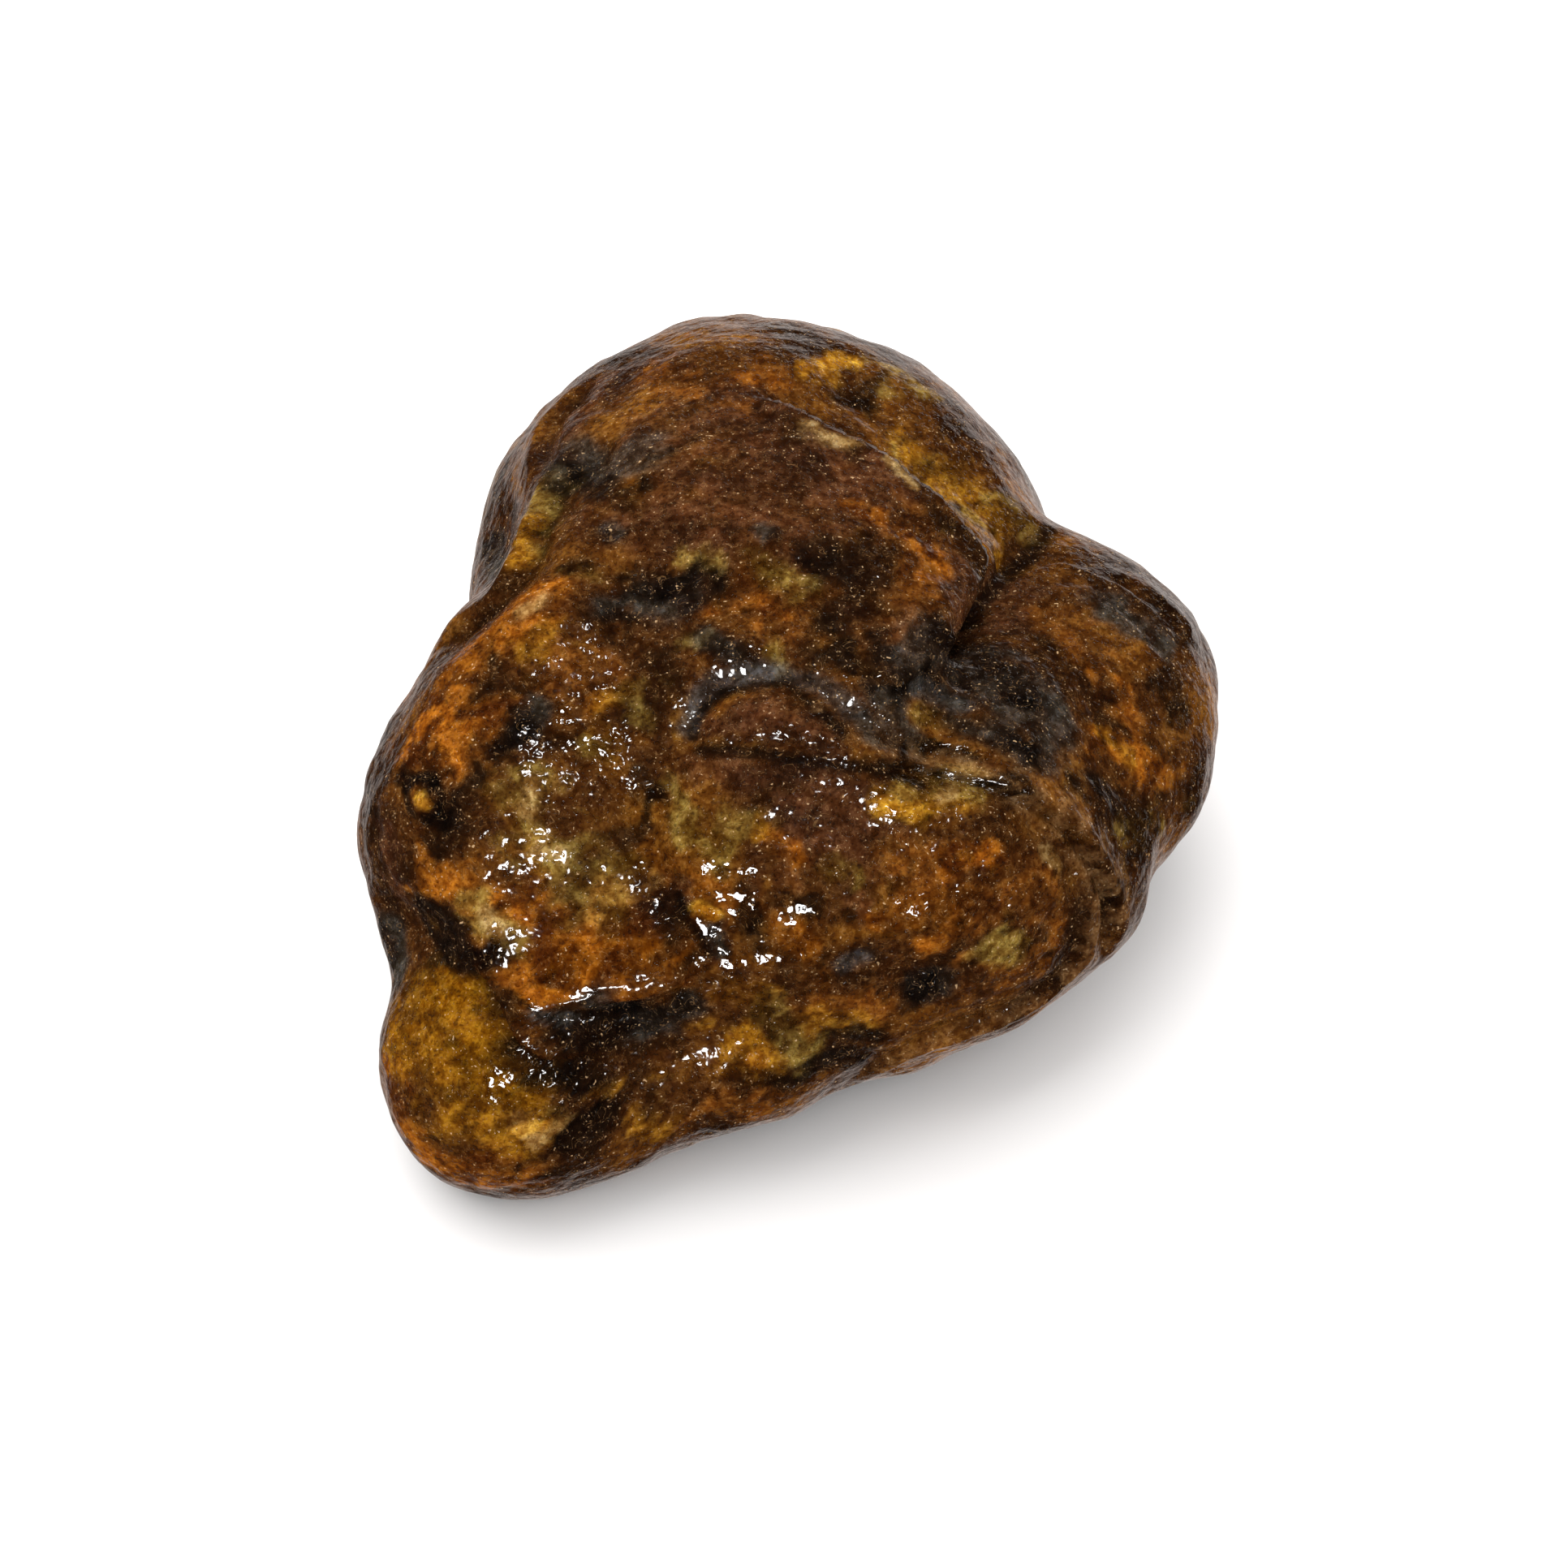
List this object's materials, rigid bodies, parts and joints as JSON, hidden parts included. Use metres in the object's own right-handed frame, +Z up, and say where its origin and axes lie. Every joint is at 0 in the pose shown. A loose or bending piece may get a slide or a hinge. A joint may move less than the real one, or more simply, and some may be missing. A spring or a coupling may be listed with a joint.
{
  "type": "raw amber nodule",
  "caption": "Rough lobed nodule of raw amber with folds, valleys and a worn flat underside, a natural specimen that rests on a table or shelf.",
  "frame": {"origin": "middle of the bounding box's footprint, on the flat underside that the nodule rests on", "axes": "+Z up from the resting face, +Y along the nodule's longest extent from the toe towards the back, +X towards its right shoulder"},
  "size_m": [0.0615, 0.0704, 0.0333],
  "materials": {
    "amber_rind": "wet gloss over mottled brown, ochre, olive and black rind"
  },
  "bodies": {
    "root": {"amber_nodule": "amber_rind"}
  },
  "joints": []
}
